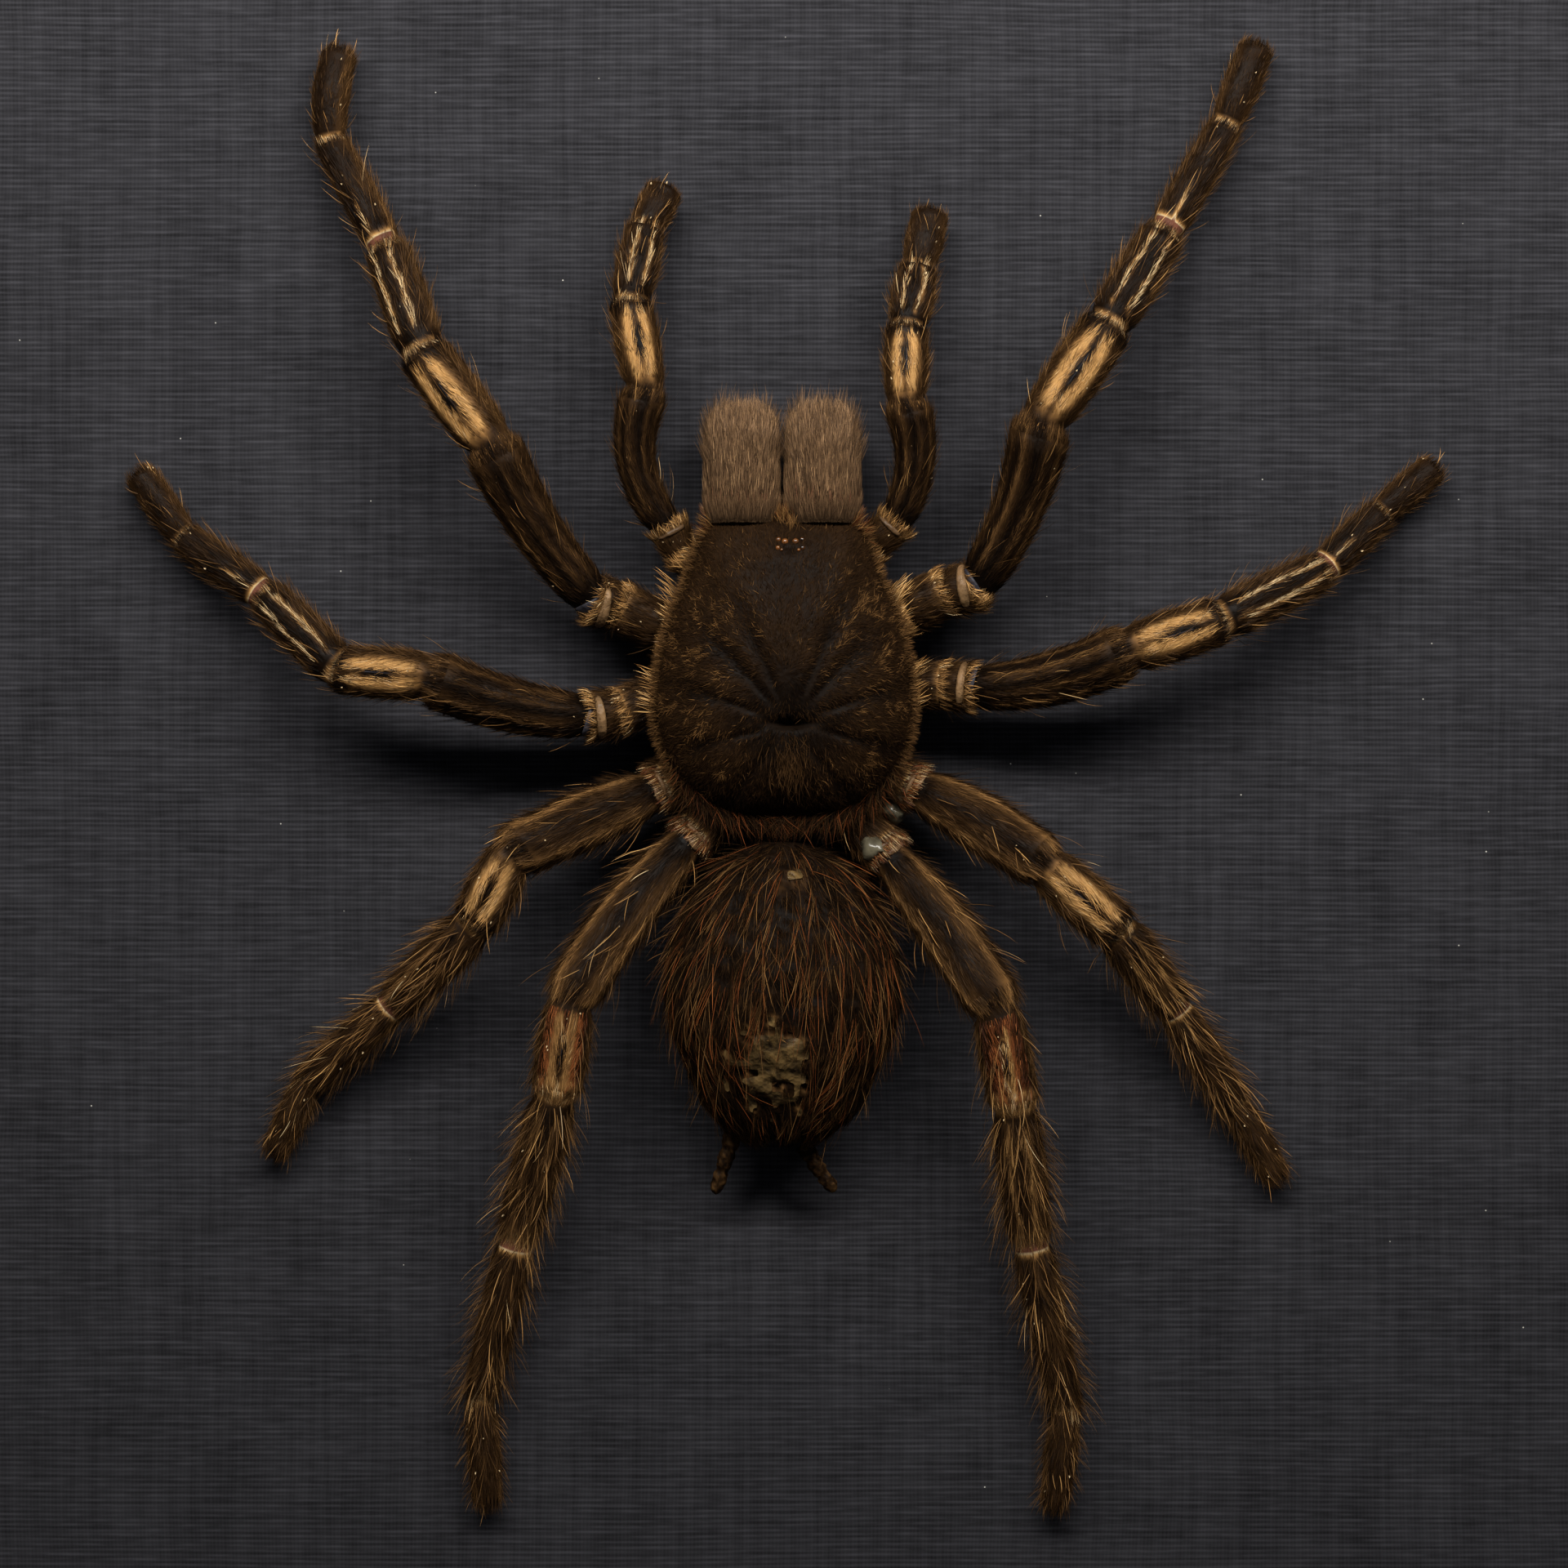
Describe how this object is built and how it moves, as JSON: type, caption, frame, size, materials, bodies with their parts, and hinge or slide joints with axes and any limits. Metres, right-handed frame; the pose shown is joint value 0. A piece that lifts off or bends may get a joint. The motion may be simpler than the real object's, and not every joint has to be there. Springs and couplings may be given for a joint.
{
  "type": "framed tarantula specimen",
  "caption": "Dried spread tarantula fixed to a slate cloth-covered board in an open-fronted black wooden shadow-box frame, with turn buttons and a hanger on the back.",
  "frame": {"origin": "centre of the back of the frame, on the plane of the rails' back faces", "axes": "+Z out of the front of the frame towards the viewer, +Y towards the spider's head, +X to the viewer's right"},
  "size_m": [0.188, 0.188, 0.031],
  "materials": {
    "black_wood": "satin black paint over wood",
    "slate_cloth": "matt slate bookcloth, ribbed weave",
    "grey_card": "raw grey-brown board",
    "brassed_steel": "dull brassed steel",
    "limb_hair": "dense brown hair over dark skin, straw-gold bands",
    "body_hair": "dark brown velvet with rust-red hairs",
    "jaw_hair": "dense straight grey-tan hair",
    "horn": "glossy black horn",
    "dry_skin": "dark brown dried skin",
    "glue": "dried clear glue"
  },
  "bodies": {
    "root": {"abdomen": "body_hair", "back_panel": "grey_card", "button_screw_left_lower": "brassed_steel", "button_screw_left_upper": "brassed_steel", "button_screw_right_lower": "brassed_steel", "button_screw_right_upper": "brassed_steel", "carapace": "body_hair", "chelicera_left": "jaw_hair", "chelicera_right": "jaw_hair", "fang_left": "horn", "fang_right": "horn", "glue_pad": "glue", "hanger": "brassed_steel", "hanger_nail_left": "brassed_steel", "hanger_nail_right": "brassed_steel", "leg_1_left": "limb_hair", "leg_1_right": "limb_hair", "leg_2_left": "limb_hair", "leg_2_right": "limb_hair", "leg_3_left": "limb_hair", "leg_3_right": "limb_hair", "leg_4_left": "limb_hair", "leg_4_right": "limb_hair", "mount_board": "slate_cloth", "palp_left": "limb_hair", "palp_right": "limb_hair", "pedicel": "dry_skin", "rail_bottom": "black_wood", "rail_left": "black_wood", "rail_right": "black_wood", "rail_top": "black_wood", "spinneret_left": "dry_skin", "spinneret_right": "dry_skin", "sternum": "dry_skin", "turn_button_left_lower": "brassed_steel", "turn_button_left_upper": "brassed_steel", "turn_button_right_lower": "brassed_steel", "turn_button_right_upper": "brassed_steel"}
  },
  "joints": []
}
